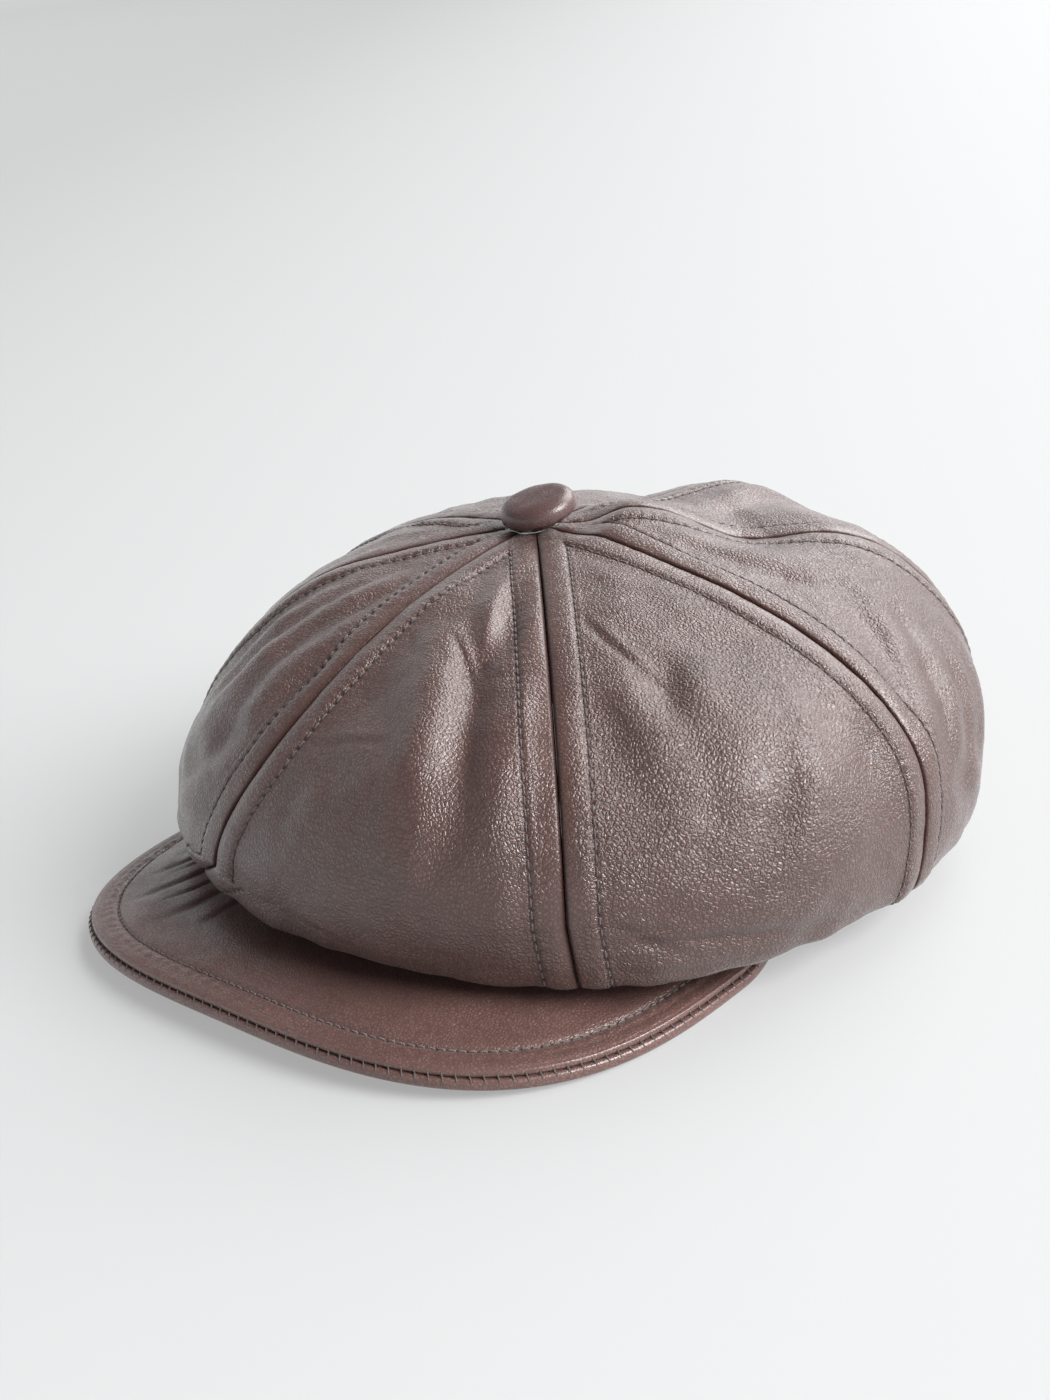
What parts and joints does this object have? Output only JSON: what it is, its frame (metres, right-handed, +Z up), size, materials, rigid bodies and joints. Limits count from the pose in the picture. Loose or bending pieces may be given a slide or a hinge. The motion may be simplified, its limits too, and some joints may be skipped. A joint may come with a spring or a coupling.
{
  "type": "newsboy cap",
  "caption": "Leather newsboy cap: full eight-gore crown with a covered top button, lined, on an oval headband with a stiff leather-covered peak.",
  "frame": {"origin": "centre of the bounding box, on the surface that the cap stands on", "axes": "+Z up; the peak points to -Y; +X is the wearer's left"},
  "size_m": [0.2464, 0.2682, 0.1102],
  "materials": {
    "crown_leather": "pebble-grained brown leather, semi-matt with a fine sparkle",
    "band_leather": "fine-grained brown leather",
    "peak_leather": "smooth, glossier red-brown leather",
    "button_leather": "smooth stretched leather, satin",
    "sweatband_leather": "thin smooth leather",
    "anchor_leather": "rough cut leather",
    "lining_cloth": "woven satin lining",
    "buckram": "stiff open-weave buckram",
    "peak_board": "flexible moulded sheet",
    "button_metal": "pressed tinplate",
    "shank_wire": "drawn wire",
    "thread": "waxed thread"
  },
  "bodies": {
    "cap": {"crown_panel_1": "crown_leather", "crown_panel_2": "crown_leather", "crown_panel_3": "crown_leather", "crown_panel_4": "crown_leather", "crown_panel_5": "crown_leather", "crown_panel_6": "crown_leather", "crown_panel_7": "crown_leather", "crown_panel_8": "crown_leather", "lining_panel_1": "lining_cloth", "lining_panel_2": "lining_cloth", "lining_panel_3": "lining_cloth", "lining_panel_4": "lining_cloth", "lining_panel_5": "lining_cloth", "lining_panel_6": "lining_cloth", "lining_panel_7": "lining_cloth", "lining_panel_8": "lining_cloth", "headband": "band_leather", "band_stiffener": "buckram", "sweatband": "sweatband_leather", "button_anchor": "anchor_leather"},
    "peak": {"peak_top_cover": "peak_leather", "peak_board": "peak_board", "peak_bottom_cover": "peak_leather"},
    "thread": {"button_thread": "thread"},
    "button": {"button_cover": "button_leather", "button_shell": "button_metal", "button_back": "button_metal", "button_shank": "shank_wire"}
  },
  "joints": [
    {"name": "peak_flex", "type": "hinge", "parent": "cap", "child": "peak", "pos_m": [-0.00658, -0.0682, 0.01326], "axis": [1, 0, 0], "range_deg": [-3, 5], "stiffness_Nm_per_rad": 6},
    {"name": "button_turn", "type": "hinge", "parent": "cap", "child": "thread", "pos_m": [-0.00428, 0.0121, 0.1], "axis": [0, 0, 1], "range_deg": [-40, 40], "stiffness_Nm_per_rad": 0.0002},
    {"name": "button_rock", "type": "hinge", "parent": "thread", "child": "button", "pos_m": [-0.00428, 0.0121, 0.1], "axis": [-0.9703, 0.2419, 0], "range_deg": [0, 20]}
  ]
}
